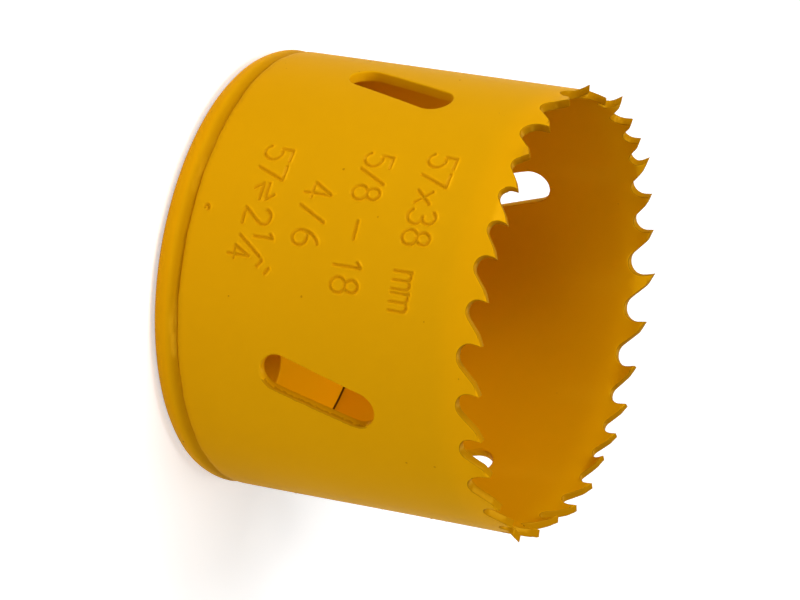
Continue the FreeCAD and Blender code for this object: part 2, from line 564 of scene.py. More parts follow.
def kept_rows(edges, rows, within):
    """Row points that no other part of the edge is nearer to, inside the sheet."""
    made = []
    for distance, spots in rows:
        reach = edges.reach(spots)[0]
        good = (reach > distance * ROW_SHARE - MERGE_REACH / 2) & within(spots)
        made.append(spots[good])
    return np.concatenate(made)


def enclosed(loops, spots):
    """Whether each spot lies inside the first loop and outside the others."""
    inside = np.zeros(len(spots), bool)
    x, y = spots[:, 0], spots[:, 1]
    for loop in loops:
        for (x0, y0), (x1, y1) in zip(loop, loop[1:] + loop[:1]):
            if y0 != y1:
                crossed = ((y0 > y) != (y1 > y)) & (x < (x1 - x0) * (y - y0) / (y1 - y0) + x0)
                inside ^= crossed
    return inside


def filled(loops, inner):
    """Triangles of a sheet: its points, its triangles and the loops' places among its points."""
    points = [spot for loop in loops for spot in loop]
    borders = []
    for loop in loops:
        first = len(borders)
        borders += [(first + i, first + (i + 1) % len(loop)) for i in range(len(loop))]
    points += [tuple(spot) for spot in inner]
    result = delaunay_2d_cdt([Vector(p) for p in points], borders, [], 0, 1e-6, True)
    spots = np.array([tuple(v) for v in result[0]])
    place = {}
    for made, sources in enumerate(result[3]):
        for source in sources:
            place[source] = made
    order = []
    first = 0
    for loop in loops:
        order.append([place[first + i] for i in range(len(loop))])
        first += len(loop)
    # Only triangles between border points alone can lie outside
    bordering = {corner for row in order for corner in row}
    triangles = [tuple(face) for face in result[2]]
    doubtful = [face for face in triangles if bordering.issuperset(face)]
    middles = spots[np.array(doubtful)].mean(1)
    outside = {face for face, good in zip(doubtful, enclosed(loops, middles)) if not good}
    return spots, [face for face in triangles if face not in outside], order


# Shells and the node trees that shape them


class Shell:
    """Gathers points, faces and one value a point for each named attribute."""

    def __init__(self, names):
        self.points = []
        self.faces = []
        self.values = {name: [] for name in names}

    def add(self, points, faces, loops=(), **values):
        """Takes in a sheet and gives the new places of its loops."""
        first = len(self.points)
        self.points += [tuple(point) for point in points]
        self.faces += [tuple(first + corner for corner in face) for face in faces]
        for name, held in self.values.items():
            given = values.get(name, 0.0)
            held += list(np.broadcast_to(given, (len(points),)).astype(float))
        return [[first + index for index in loop] for loop in loops]

    def bridge(self, first, second, closed=True):
        """Four-sided faces from one row of points to the next."""
        count = len(first)
        for i in range(count if closed else count - 1):
            j = (i + 1) % count
            self.faces.append((first[i], first[j], second[j], second[i]))

    def build(self, name):
        """An object of all that was gathered."""
        mesh = bpy.data.meshes.new(name)
        mesh.from_pydata(self.points, [], self.faces)
        for label, held in self.values.items():
            layer = mesh.attributes.new(label, "FLOAT", "POINT")
            layer.data.foreach_set("value", held)
        mesh.update()
        return linked(name, mesh)


def linked(name, data):
    """A new object in the scene."""
    made = bpy.data.objects.new(name, data)
    bpy.context.scene.collection.objects.link(made)
    return made


def grown(source, tree, material, values, name):
    """The plain mesh that a node tree makes of an object, which is then removed."""
    values = {"Millimetre": MM, "Weld gap": MERGE_REACH * MM, "Material": material, **values}
    change = source.modifiers.new(tree.name, "NODES")
    change.node_group = tree
    for item in tree.interface.items_tree:
        if item.item_type == "SOCKET" and item.in_out == "INPUT" and item.name in values:
            change[item.identifier] = values[item.name]
    view = bpy.context.evaluated_depsgraph_get()
    mesh = bpy.data.meshes.new_from_object(source.evaluated_get(view), depsgraph=view)
    mesh.name = name
    old = source.data
    bpy.data.objects.remove(source)
    bpy.data.meshes.remove(old)
    return linked(name, mesh)


# The inputs of the node trees that aren't plain numbers
SOCKET_KINDS = {"Geometry": "NodeSocketGeometry", "Material": "NodeSocketMaterial", "Seed": "NodeSocketInt"}


def node_tree(name, labels):
    """A Geometry Nodes tree with named inputs, and the wires that bring them in."""
    tree = bpy.data.node_groups.new(name, "GeometryNodeTree")
    for label in ("Geometry", *labels):
        kind = SOCKET_KINDS.get(label, "NodeSocketFloat")
        tree.interface.new_socket(label, in_out="INPUT", socket_type=kind)
    tree.interface.new_socket("Geometry", in_out="OUTPUT", socket_type="NodeSocketGeometry")
    maker = Maker(tree)
    entry = maker.node("NodeGroupInput")
    return tree, maker, entry, {label: maker.other(entry, label) for label in labels}


def close_tree(maker, geometry, material):
    """Ends a tree with plain smooth geometry that carries its material."""
    smooth = maker.node("GeometryNodeSetShadeSmooth", {"Geometry": geometry})
    real = maker.node("GeometryNodeRealizeInstances", {0: smooth})
    coated = maker.node("GeometryNodeSetMaterial", {"Geometry": real, "Material": material})
    maker.node("NodeGroupOutput", {0: coated})


def shaped(maker, entry, spot, gap):
    """A sheet with its points moved into place, and those that meet made one."""
    moved = maker.node("GeometryNodeSetPosition", {"Geometry": entry, "Position": spot})
    return maker.node("GeometryNodeMergeByDistance", {"Geometry": moved, "Distance": gap})


def attribute(maker, name):
    """A point's value of that name, in a Geometry Nodes tree."""
    return maker.node("GeometryNodeInputNamedAttribute", {"Name": name}, {"data_type": "FLOAT"})


def turn_wires(maker, angle, radius, height, scale):
    """A place given by angle from -Y, radius and height, as a vector in metres."""
    sine = maker.maths("SINE", angle)
    cosine = maker.maths("COSINE", angle)
    inputs = {0: sine * radius * scale, 1: cosine * radius * -1.0 * scale, 2: height * scale}
    return maker.node("ShaderNodeCombineXYZ", inputs)


def rolling_tree():
    """Rolls a flat strip of (run, height, offset) into a ring and sets its teeth."""
    labels = ("Body radius", "Tooth set", "Millimetre", "Weld gap", "Material")
    tree, maker, entry, given = node_tree("roll the strip", labels)
    place = maker.node("GeometryNodeInputPosition")
    run = maker.node("ShaderNodeSeparateXYZ", {0: place})
    height = maker.other(run, 1)
    offset = maker.other(run, 2)
    lean = attribute(maker, "lean") * given["Tooth set"]
    radius = given["Body radius"] + offset + lean
    spot = turn_wires(maker, run / given["Body radius"], radius, height, given["Millimetre"])
    close_tree(maker, shaped(maker, entry, spot, given["Weld gap"]), given["Material"])
    return tree


def thread_tree():
    """Turns a flat sheet of (turn, height) into a threaded hole with a chamfer at each mouth."""
    labels = ("Minor radius", "Thread depth", "Pitch", "Plate", "Chamfer", "Mouth round")
    labels += ("Millimetre", "Weld gap", "Material")
    tree, maker, entry, given = node_tree("cut the thread", labels)
    place = maker.node("GeometryNodeInputPosition")
    turn = maker.node("ShaderNodeSeparateXYZ", {0: place})
    height = maker.other(turn, 1)
    phase = height / given["Pitch"] - turn / (2 * math.pi)
    slope = maker.maths("PINGPONG", phase, 0.5) * 2.0
    # Steeper than the pitch allows and then clamped, for flat crests and roots
    flank = clamped(maker, slope * 1.4 - 0.2)
    thread = given["Minor radius"] + given["Thread depth"] * flank
    far = maker.maths("MINIMUM", height, given["Plate"] - height)
    cone = given["Minor radius"] + given["Chamfer"] - far + given["Mouth round"]
    radius = maker.maths("MAXIMUM", thread, cone)
    spot = turn_wires(maker, turn, radius, height, given["Millimetre"])
    close_tree(maker, shaped(maker, entry, spot, given["Weld gap"]), given["Material"])
    return tree


def nib_tree():
    """Scatters low paint nibs over a painted surface."""
    labels = ("Density", "Least size", "Most size", "Seed", "Material")
    tree, maker, entry, given = node_tree("scatter paint nibs", labels)
    inputs = {"Mesh": entry, "Density": given["Density"], "Seed": given["Seed"]}
    spread = maker.node("GeometryNodeDistributePointsOnFaces", inputs, {"distribute_method": "RANDOM"})
    rotation = maker.other(spread, "Rotation")
    nib = maker.node("GeometryNodeMeshIcoSphere", {"Radius": 1.0, "Subdivisions": 2})
    flat = maker.node("GeometryNodeTransform", {"Geometry": nib, "Scale": (1.0, 1.0, 0.3)})
    inputs = {2: given["Least size"], 3: given["Most size"], "Seed": given["Seed"]}
    size = maker.node("FunctionNodeRandomValue", inputs, {"data_type": "FLOAT"}, 1)
    inputs = {"Points": spread, "Instance": flat, "Rotation": rotation, "Scale": size}
    placed = maker.node("GeometryNodeInstanceOnPoints", inputs)
    close_tree(maker, placed, given["Material"])
    return tree


def face_outwards(mesh):
    """Turns every face of a closed shell to its outside."""
    shell = bmesh.new()
    shell.from_mesh(mesh)
    bmesh.ops.recalc_face_normals(shell, faces=shell.faces)
    shell.to_mesh(mesh)
    shell.free()


def joined(parts, name):
    """One object of several, with their touching points merged."""
    whole = bmesh.new()
    for part in parts:
        whole.from_mesh(part.data)
    bmesh.ops.remove_doubles(whole, verts=whole.verts, dist=MERGE_REACH * MM)
    bmesh.ops.recalc_face_normals(whole, faces=whole.faces)
    for face in whole.faces:
        face.smooth = True
    mesh = bpy.data.meshes.new(name)
    whole.to_mesh(mesh)
    whole.free()
    mesh.materials.append(parts[0].data.materials[0])
    for part in parts:
        bpy.data.objects.remove(part)
    return linked(name, mesh)


# The painted cup


def weld_ripple(turn):
    """An uneven bead, the same after each full turn."""
    return sum(size * math.sin(count * turn + shift) for size, count, shift in WELD_WAVES)


def smooth_step(values, start, end):
    """0 before the start and 1 past the end, with a soft passage between them."""
    share = np.clip((values - start) / (end - start), 0, 1)
    return share**2 * (3 - 2 * share)


def foot_line(start):
    """The strip's back edge, from the seam once round."""
    count = math.ceil(GIRTH / FOOT_STEP)
    return [(start + GIRTH * part / count, SHOULDER_HEIGHT) for part in range(count + 1)]


def seam_line(run, top):
    """Places up the cut where the strip's two ends meet, between foot and gullet."""
    heights = [SHOULDER_HEIGHT + step for step in round_steps(FOOT_ROUND)]
    heights += list(np.linspace(SHOULDER_HEIGHT + SEAM_END_CLEAR, top - SEAM_END_CLEAR, SEAM_POINTS))
    heights += [top - step for step in reversed(round_steps(TOOTH_ROUND))]
    return [(run, height) for height in heights]


def slot_lines(seam):
    """The slots' outlines, all of them past the seam."""
    slots = []
    for angle in SLOT_ANGLES:
        line = slot_outline(angle)
        if min(run for run, z in line) < seam:
            line = [(run + GIRTH, z) for run, z in line]
        slots.append(line)
    return slots


def cup_edges(top, foot, slots):
    """All cut edges of the strip, those of teeth and foot run on past the seam."""
    before = [(run - GIRTH, z) for run, z in top[-EDGE_LAP:-1]]
    after = [(run + GIRTH, z) for run, z in top[1:EDGE_LAP]]
    ends = [(foot[0][0] - FOOT_LAP, SHOULDER_HEIGHT), (foot[-1][0] + FOOT_LAP, SHOULDER_HEIGHT)]
    chains = [(before + top + after, False, TOOTH_ROUND, TOOTH_ROUND)]
    chains.append((ends[:1] + foot + ends[1:], False, FOOT_ROUND, FOOT_ROUND_INSIDE))
    return Edges(chains + [(line, True, SLOT_ROUND_OUTSIDE, SLOT_ROUND_INSIDE) for line in slots])


class Strokes:
    """The pressed marks on the flat strip, and the relief that they give it."""

    def __init__(self, lines):
        self.dents = np.array(mark_points(lines))
        self.tree = nearest_tree([spot for line in lines for spot in along(line, STROKE_SAMPLE)])

    def reach(self, spots):
        """Distance from the nearest stroke and the share of it that points to the teeth."""
        found = [(z, *self.tree.find((x, z, 0.0))) for x, z in spots]
        reach = np.array([distance for z, near, index, distance in found])
        rise = np.array([z - near[1] for z, near, index, distance in found])
        return reach, rise / np.maximum(reach, 0.01)

    def relief(self, spots):
        """How far spots are pressed and how far they stand on a lip, both from 0 to 1."""
        reach, rise = self.reach(spots)
        half = STROKE_REACH * np.where(rise > 0, 1 - STROKE_SKEW * rise, 1 - 2 * STROKE_SKEW * rise)
        past = reach - half - LIP_PLACE
        width = np.where(past > 0, LIP_OUTSIDE, LIP_INSIDE)
        lip = np.exp(-((past / width) ** 2)) * np.clip(LIP_BESIDE + rise, 0, 1)
        return np.clip(1 - reach / half, 0, 1), lip


def torn_side(spots):
    """1 along the side of the first slot that the punch left ragged, 0 elsewhere."""
    lean = math.radians(SLOT_SLANT)
    run = spots[:, 0] - GIRTH - BODY_RADIUS * math.radians(SLOT_ANGLES[0])
    height = spots[:, 1] - SLOT_CENTRE_HEIGHT
    across = run * math.cos(lean) - height * math.sin(lean)
    along_slot = run * math.sin(lean) + height * math.cos(lean)
    beside = (across > SLOT_WIDTH / 2 - TORN_INWARDS) & (across < SLOT_WIDTH)
    return (beside & (np.abs(along_slot) < SLOT_LENGTH / 2 + TORN_PAST)).astype(float)


def tooth_lean(spots, starts):
    """How far spots lean with their teeth, as a share of the tooth set."""
    ways = np.array([SET_WAYS[letter] for letter in SET_PATTERN])
    depths = np.array([TOOTH_KINDS[letter][1] for letter, pitch in tooth_steps()])
    shares = np.where(ways < 0, INWARD_SHARE, SET_SHARE)
    bends = CUP_HEIGHT - shares * np.minimum(depths, np.roll(depths, -1))
    place = (np.searchsorted(starts, spots[:, 0]) - 1) % (len(starts) - 1)
    climb = np.clip((spots[:, 1] - bends[place]) / (CUP_HEIGHT - bends[place]), 0, 1)
    return ways[place] * ((1 - SET_CURVE) * climb + SET_CURVE * climb**2)


def outer_relief(spots, strokes):
    """Height of the outside over the plain wall, with how pressed and how lipped it is."""
    press, lip = strokes.relief(spots)
    turn = spots[:, 0] / BODY_RADIUS
    above = spots[:, 1] - SHOULDER_HEIGHT
    relief = LIP_HEIGHT * lip - STROKE_DEPTH * press**2 * (3 - 2 * press)
    for size, count, climb, shift in WALL_WAVES:
        wave = size * np.sin(count * turn + climb * spots[:, 1] + shift)
        relief += wave * np.clip(above / WALL_WAVE_RISE, 0, 1)
    ripple = np.array([weld_ripple(place) for place in turn]) + 1
    relief -= WELD_DEPTH * ripple * np.exp(-((above / WELD_REACH) ** 2))
    # The weld groove's painted shade goes with the pressed marks' painted shade
    return relief, np.maximum(press, WELD_SHADE * np.exp(-((above / WELD_SHADE_REACH) ** 2))), lip


def cup_looks(spots, outer, distance, on_tooth, press, lip):
    """The values by which the paint changes over one face of the cup."""
    ragged = torn_side(spots)
    first, last = EDGE_LINE
    # Painted light: a brighter colour near the teeth, and on the lips beside the strokes
    glow = smooth_step(CUP_HEIGHT - spots[:, 1], PAINTED_GLOW_START, PAINTED_GLOW_END) if outer else 0.0
    return {
        # Painted shade in the pressed marks and the weld groove
        "pressed": press,
        # Painted shade inside the cup
        "inner": 0.0 if outer else 1.0,
        "edge": on_tooth & (distance > first * TOOTH_ROUND) & (distance < last * TOOTH_ROUND),
        # Painted shade on the teeth's cut faces, and a share of it on the ragged slot's wall
        "cut": np.where(distance < CUT_WIDTH, on_tooth + TORN_FACE * ragged, 0.0),
        "torn": (distance < TORN_WIDTH) * ragged if outer else 0.0,
        "glow": np.maximum(glow, LIP_PAINTED_HIGHLIGHT * lip),
    }


class Strip:
    """The flat strip that is rolled into the cup: its outline, edges, marks and points."""

    def __init__(self):
        self.top, self.starts = toothed_edge()
        self.seam = self.top[0][0]
        self.end = self.seam + GIRTH
        self.foot = foot_line(self.seam)
        self.slots = slot_lines(self.seam)
        self.edges = cup_edges(self.top, self.foot, self.slots)
        self.strokes = Strokes([[(run + GIRTH, z) for run, z in line] for line in mark_strokes()])
        self.right = seam_line(self.end, self.top[-1][1])
        left = seam_line(self.seam, self.top[0][1])
        self.outline = self.top + self.right[::-1] + self.foot[::-1] + left
        self.grid = self.even_points()

    def even_points(self):
        """A grid of points over the sheet, clear of its edges."""
        columns = round(GIRTH / SHEET_STEP)
        runs = self.seam + (np.arange(columns) + 0.5) * GIRTH / columns
        heights = np.arange(SHOULDER_HEIGHT + FOOT_CLEAR, CUP_HEIGHT, SHEET_STEP)
        grid = np.array([(run, height) for run in runs for height in heights])
        clear = self.edges.reach(grid)[0] > EDGE_CLEAR
        return grid[clear & enclosed([self.outline] + self.slots, grid)]

    def within(self, spots):
        """Whether spots lie clear of the seam and above the foot."""
        clear = (spots[:, 0] > self.seam + SEAM_CLEAR) & (spots[:, 0] < self.end - SEAM_CLEAR)
        return clear & (spots[:, 1] > SHOULDER_HEIGHT)

    def inner_points(self, outer):
        """All points inside one face: beside its edges, over its marks and on the grid."""
        rows = edge_rows(self.top, False, TOOTH_ROUND, -1)
        rows += edge_rows(self.foot, False, FOOT_ROUND if outer else INNER_FOOT_ROWS, 1)
        for line in self.slots:
            rows += edge_rows(line, True, SLOT_ROUND_OUTSIDE if outer else SLOT_ROUND_INSIDE, -1)
        points = [kept_rows(self.edges, rows, self.within)]
        if outer:
            points += [self.strokes.dents, self.grid[self.strokes.reach(self.grid)[0] > STROKE_CLEAR]]
        else:
            points.append(self.grid)
        return np.concatenate(points)

    def add_face(self, shell, outer):
        """Adds one face of the sheet to a shell and gives the places of its border points."""
        spots, triangles, loops = filled([self.outline] + self.slots, self.inner_points(outer))
        distance, rounds = self.edges.reach(spots)
        drop = round_drop(distance, rounds[:, 0 if outer else 1])
        if outer:
            relief, press, lip = outer_relief(spots, self.strokes)
            depth = relief - drop
        else:
            thinner = smooth_step(CUP_HEIGHT - spots[:, 1], THINNING_START, THINNING_END)
            depth = drop - WALL + TOOTH_THINNING * thinner
            press, lip = 0.0, 0.0
        looks = cup_looks(spots, outer, distance, rounds[:, 0] == TOOTH_ROUND, press, lip)
        points = np.column_stack((spots, depth))
        faces = triangles if outer else [face[::-1] for face in triangles]
        return shell.add(points, faces, loops, lean=tooth_lean(spots, self.starts), **looks)


def painted_cup(material):
    """The two faces of the strip and the cut faces between them, rolled into a ring."""
    strip = Strip()
    shell = Shell(("lean", "pressed", "inner", "edge", "cut", "torn", "glow"))
    outside = strip.add_face(shell, True)
    inside = strip.add_face(shell, False)
    top_end = len(strip.top)
    foot_start = top_end + len(strip.right)
    for first, last in ((0, top_end), (foot_start, foot_start + len(strip.foot))):
        shell.bridge(inside[0][first:last], outside[0][first:last], closed=False)
    for outer_slot, inner_slot in zip(outside[1:], inside[1:]):
        shell.bridge(inner_slot, outer_slot)
    values = {"Body radius": BODY_RADIUS, "Tooth set": TOOTH_SET}
    cup = grown(shell.build("flat strip"), rolling_tree(), material, values, "painted_cup")
    face_outwards(cup.data)
    return cup


# The painted end plate

def circle(radius, count, x=0.0, y=0.0, start=0.0):
    """Places round a circle, its angles measured as the saw's own are."""
    turns = [math.radians(start) + 2 * math.pi * part / count for part in range(count)]
    return [(x + radius * math.sin(turn), y - radius * math.cos(turn)) for turn in turns]


def plate_rim():
    """Radius, height and the weld's share, from the floor's edge round to the back face."""
    inside = [(SPIGOT_RADIUS, PLATE - SPIGOT_CHAMFER, 0.0), (SPIGOT_RADIUS, SHOULDER_HEIGHT, 0.0)]
    start = (BODY_RADIUS - GROOVE_DEPTH, SHOULDER_HEIGHT)
    middle = (BODY_RADIUS - GROOVE_DEPTH * GROOVE_MIDDLE, (BACK_EDGE_RADIUS + SHOULDER_HEIGHT) / 2)
    end = (BODY_RADIUS, BACK_EDGE_RADIUS)
    control = (2 * middle[0] - (start[0] + end[0]) / 2, 2 * middle[1] - (start[1] + end[1]) / 2)
    groove = [(*start, 0.5)]
    groove += [(*curved(start, control, end, part / 6), 1 - part / 6) for part in range(1, 7)]
    back_edge = []
    for part in range(1, 15):
        turn = math.radians(90 * part / 14)
        radius = BODY_RADIUS - BACK_EDGE_RADIUS + BACK_EDGE_RADIUS * math.cos(turn)
        back_edge.append((radius, BACK_EDGE_RADIUS * (1 - math.sin(turn)), 0.0))
    return inside + groove + back_edge


def add_flat_face(shell, is_floor):
    """Adds the cup's floor or the back face, and gives the places of its border points."""
    edge_radius = SPIGOT_RADIUS - SPIGOT_CHAMFER if is_floor else BODY_RADIUS - BACK_EDGE_RADIUS
    holes = [(circle(THREAD_MINOR_RADIUS + THREAD_CHAMFER, THREAD_POINTS), MOUTH_ROUND)]
    for x, y in circle(PIN_CIRCLE_RADIUS, PIN_HOLE_COUNT, start=PIN_HOLE_ANGLE):
        holes.append((circle(PIN_HOLE_RADIUS, PIN_POINTS, x, y), HOLE_ROUND))
    loops = [circle(edge_radius, RIM_POINTS)] + [loop for loop, radius in holes]
    edges = Edges([(loop, True, radius, radius) for loop, radius in holes])
    rows = [row for loop, radius in holes for row in edge_rows(loop, True, radius, -1)]
    inner = [kept_rows(edges, rows, lambda spots: np.hypot(*spots.T) < edge_radius - ROW_END)]
    for radius in np.arange(RING_START, edge_radius - RING_END, RING_STEP):
        ring = np.array(circle(radius, round(radius * RING_POINTS)))
        inner.append(ring[(edges.reach(ring)[0] > RING_CLEAR) & enclosed(loops, ring)])
    inner.append(np.array(circle(edge_radius - LAST_RING, RIM_POINTS // 2)))
    spots, triangles, order = filled(loops, np.concatenate(inner))
    distance, rounds = edges.reach(spots)
    drop = round_drop(distance, rounds[:, 0])
    level = PLATE - drop if is_floor else drop
    points = np.column_stack((spots, level)) * MM
    faces = triangles if is_floor else [face[::-1] for face in triangles]
    # The cup's floor takes the painted shade of the inside
    return shell.add(points, faces, order, inner=float(is_floor))


def rim_ring(radius, height, share):
    """One ring of the rim, uneven at the weld and slightly wavy below it."""
    ring = []
    for part in range(RIM_POINTS):
        turn = 2 * math.pi * part / RIM_POINTS
        worn = radius - PLATE_WELD_DEPTH * share * (weld_ripple(turn) + PLATE_WELD_LEVEL)
        if height < SHOULDER_HEIGHT:
            for size, count, climb, shift in RIM_WAVES:
                wave = size * math.sin(count * turn + climb * height + shift)
                worn += wave * min(1.0, height / RIM_WAVE_RISE)
        ring.append((worn * math.sin(turn) * MM, -worn * math.cos(turn) * MM, height * MM))
    return ring


def add_rim(shell, floor_edge, back_edge):
    """The turned rim, between the floor's edge and the back face."""
    above = floor_edge
    for radius, height, share in plate_rim()[:-1]:
        # Painted shade on the rim's rows inside the cup
        hidden = 1.0 if radius < BODY_RADIUS - WALL else 0.0
        # Painted light: a brighter colour on the rounded back edge
        painted_light_edge = 1.0 if height < BACK_EDGE_RADIUS else 0.0
        # Painted shade in the weld groove
        tint = min(PLATE_WELD_MOST, share * PLATE_WELD_SHADE)
        ring = rim_ring(radius, height, share)
        row = shell.add(ring, [], [range(RIM_POINTS)], inner=hidden, pressed=tint, glow=painted_light_edge)[0]
        shell.bridge(row, above)
        above = row
    shell.bridge(back_edge, above)


def arbor_thread(material):
    """The threaded hole, cut from a flat sheet."""
    sheet = Shell(())
    rows = []
    turns = [2 * math.pi * part / THREAD_POINTS for part in range(THREAD_POINTS + 1)]
    for level in np.linspace(MOUTH_ROUND, PLATE - MOUTH_ROUND, THREAD_ROWS):
        rows += sheet.add([(turn, level, 0.0) for turn in turns], [], [range(len(turns))])
    for below, above in zip(rows[:-1], rows[1:]):
        sheet.bridge(above, below, closed=False)
    values = {"Minor radius": THREAD_MINOR_RADIUS, "Thread depth": THREAD_DEPTH, "Pitch": THREAD_PITCH}
    values |= {"Plate": PLATE, "Chamfer": THREAD_CHAMFER, "Mouth round": MOUTH_ROUND}
    return grown(sheet.build("flat thread"), thread_tree(), material, values, "arbor thread")


def painted_plate(material):
    """The flat faces, the walls of the holes and the turned rim, made one."""
    shell = Shell(("pressed", "inner", "glow"))
    floor = add_flat_face(shell, True)
    back = add_flat_face(shell, False)
    for floor_hole, back_hole in zip(floor[2:], back[2:]):
        shell.bridge(floor_hole, back_hole)
    add_rim(shell, floor[0], back[0])
    disc = shell.build("turned disc")
    disc.data.materials.append(material)
    return joined([disc, arbor_thread(material)], "painted_plate")


# Paint

PAINT = paint_colour(226, 162, 3)
PAINT_CLOUD = paint_colour(218, 153, 1)

# What the paint turns to where a value is given to the surface: the value's name, the share
# of the new colour, and that colour. They are painted light near the teeth, on the lips and on
# the back edge, painted shade in the pressed marks and the weld groove, painted shade inside
# the cup and on the teeth's cut faces, and a dark line along the round of a tooth's edge
PAINT_TINTS = (
    # Painted light near the teeth, on the lips and on the back edge
    ("glow", 0.5, paint_colour(240, 168, 1)),
    # Painted shade in the pressed marks and the weld groove
    ("pressed", 0.12, paint_colour(170, 108, 0)),
    # Painted shade inside the cup
    ("inner", 0.2, paint_colour(205, 130, 0)),
    # Painted shade on cut faces
    ("cut", 0.7, paint_colour(162, 104, 1)),
    # A dark line along the round of a tooth's edge
    ("edge", 0.8, paint_colour(104, 66, 5)),
)
CLOUD_SHARE = 0.25
CLOUD_SCALE = 160.0

# Dark specks: colour and share, scale of their cells, size in a cell, and the scale of the
# patches that have any, with how few of these there are
SPECK_COLOUR = paint_colour(92, 58, 6)
SPECK_SHARE = 0.75
SPECK_SCALE = 150.0
SPECK_SIZE = 0.026
PATCH_SCALE = 65.0
PATCH_RARITY = 0.58

# The torn line: colour and share, scale and height of its jags, and the level that it needs
TORN_COLOUR = paint_colour(160, 96, 2)
TORN_SHARE = 0.6
JAG_SCALE = 2200.0
JAG_HEIGHT = 1.2
TORN_LEVEL = 0.62

# Paint over dust
DUST_COLOUR = paint_colour(206, 142, 4)
DUST_CLOUD = paint_colour(190, 126, 2)
DUST_SCALE = 400.0
DUST_ROUGHNESS = 0.2

# Gloss: its colour straight on and at a slant, its share straight on and what a slant adds,
# its roughness and what the clouds of the paint add to that
FACING_GLOSS = paint_colour(255, 205, 50)
SLANT_GLOSS = paint_colour(255, 240, 200)
GLOSS_FACING = 0.028
GLOSS_SLANT = 0.17
GLOSS_ROUGHNESS = 0.15
CLOUD_ROUGHNESS = 0.08

# Orange peel: the scales of its fine grain and of its swell, the grain's share, and its depth
PEEL_SCALE = 900.0
SWELL_SCALE = 210.0
PEEL_SHARE = 0.35
PEEL_DEPTH = 0.04

# The dark joint round the cup's floor: colour and share, width and how sharply it ends
JOINT_COLOUR = paint_colour(70, 34, 2)
JOINT_SHARE = 0.9
JOINT_WIDTH = 0.12
JOINT_SHARPNESS = 20000.0

# Paint nibs: how many on a square metre, the least and the greatest radius
NIB_DENSITY = 5500.0
LEAST_NIB = 0.06
MOST_NIB = 0.17
NIB_SEED = 11


def new_material(name):
    """An empty material and the maker of its nodes."""
    material = bpy.data.materials.new(name)
    material.use_nodes = True
    return material, Maker(material.node_tree)


def object_place(maker):
    """The place on the object, in its own coordinates."""
    return maker.node("ShaderNodeTexCoord", output="Object")


def noise(maker, place, scale, detail=2.0):
    """Soft noise from 0 to 1. A scale of 100 has spots of about 10 mm."""
    return maker.node("ShaderNodeTexNoise", {"Vector": place, "Scale": scale, "Detail": detail})


def surface_value(maker, name):
    """A point's value of that name, in a material."""
    return maker.node("ShaderNodeAttribute", None, {"attribute_name": name}, "Fac")


def clamped(maker, wire):
    """A value kept between 0 and 1."""
    return maker.node("ShaderNodeClamp", {0: wire})


def paint_body(maker, tint, normal=None):
    """The dull body of a paint, without its gloss."""
    inputs = {"Base Color": tint, "Roughness": 0.6, "Specular IOR Level": 0.0}
    if normal:
        inputs["Normal"] = normal
    return maker.node("ShaderNodeBsdfPrincipled", inputs)


def glossed(maker, body, rough, normal):
    """A thin clear gloss over a body colour, stronger where the surface is seen at a slant."""
    facing = maker.node("ShaderNodeLayerWeight", {"Blend": 0.5, "Normal": normal}, output="Facing")
    slant = facing**4.0
    share = GLOSS_FACING + GLOSS_SLANT * slant
    colour = maker.blend(slant, FACING_GLOSS, SLANT_GLOSS)
    gloss = maker.node("ShaderNodeBsdfGlossy", {"Color": colour, "Roughness": rough, "Normal": normal})
    coat = maker.node("ShaderNodeMixShader", {0: share, 1: body, 2: gloss})
    maker.node("ShaderNodeOutputMaterial", {0: coat})


def speck_share(maker, place):
    """Few and small dark specks."""
    cell = maker.node("ShaderNodeTexVoronoi", {"Vector": place, "Scale": SPECK_SCALE})
    dot = clamped(maker, (SPECK_SIZE - cell) * 120.0)
    rare = clamped(maker, (noise(maker, place, PATCH_SCALE, 0.0) - PATCH_RARITY) * 20.0)
    return dot * rare * SPECK_SHARE


def torn_share(maker, place):
    """A thin broken line along the ragged side of a slot."""
    jagged = (noise(maker, place, JAG_SCALE) - 0.5) * JAG_HEIGHT
    return clamped(maker, (surface_value(maker, "torn") - TORN_LEVEL + jagged) * 5.0)


def joint_share(maker, place):
    """The joint between the end plate and the wall, which the paint doesn't reach."""
    across = maker.node("ShaderNodeSeparateXYZ", {0: place})
    radius = (across**2.0 + maker.other(across, 1) ** 2.0) ** 0.5
    low = clamped(maker, ((PLATE + JOINT_WIDTH) * MM - maker.other(across, 2)) * JOINT_SHARPNESS)
    far = clamped(maker, (radius - (SPIGOT_RADIUS - SPIGOT_CHAMFER) * MM) * JOINT_SHARPNESS)
    return low * far * surface_value(maker, "inner") * JOINT_SHARE


def yellow_paint():
    """Thick gloss paint with a slight orange peel, painted shade in dents and inside the cup."""
    material, maker = new_material("yellow gloss paint")
    place = object_place(maker)
    cloud = noise(maker, place, CLOUD_SCALE)
    tint = maker.blend(cloud * CLOUD_SHARE, PAINT, PAINT_CLOUD)
    for name, share, colour in PAINT_TINTS:
        tint = maker.blend(surface_value(maker, name) * share, tint, colour)
    tint = maker.blend(speck_share(maker, place), tint, SPECK_COLOUR)
    tear = torn_share(maker, place)
    tint = maker.blend(tear * TORN_SHARE, tint, TORN_COLOUR)
    tint = maker.blend(joint_share(maker, place), tint, JOINT_COLOUR)
    peel = noise(maker, place, PEEL_SCALE, 1.0) * PEEL_SHARE
    relief = peel + noise(maker, place, SWELL_SCALE, 1.0) - tear
    inputs = {"Strength": 0.35, "Distance": PEEL_DEPTH * MM, "Height": relief}
    bump = maker.node("ShaderNodeBump", inputs)
    glossed(maker, paint_body(maker, tint, bump), GLOSS_ROUGHNESS + cloud * CLOUD_ROUGHNESS, bump)
    return material


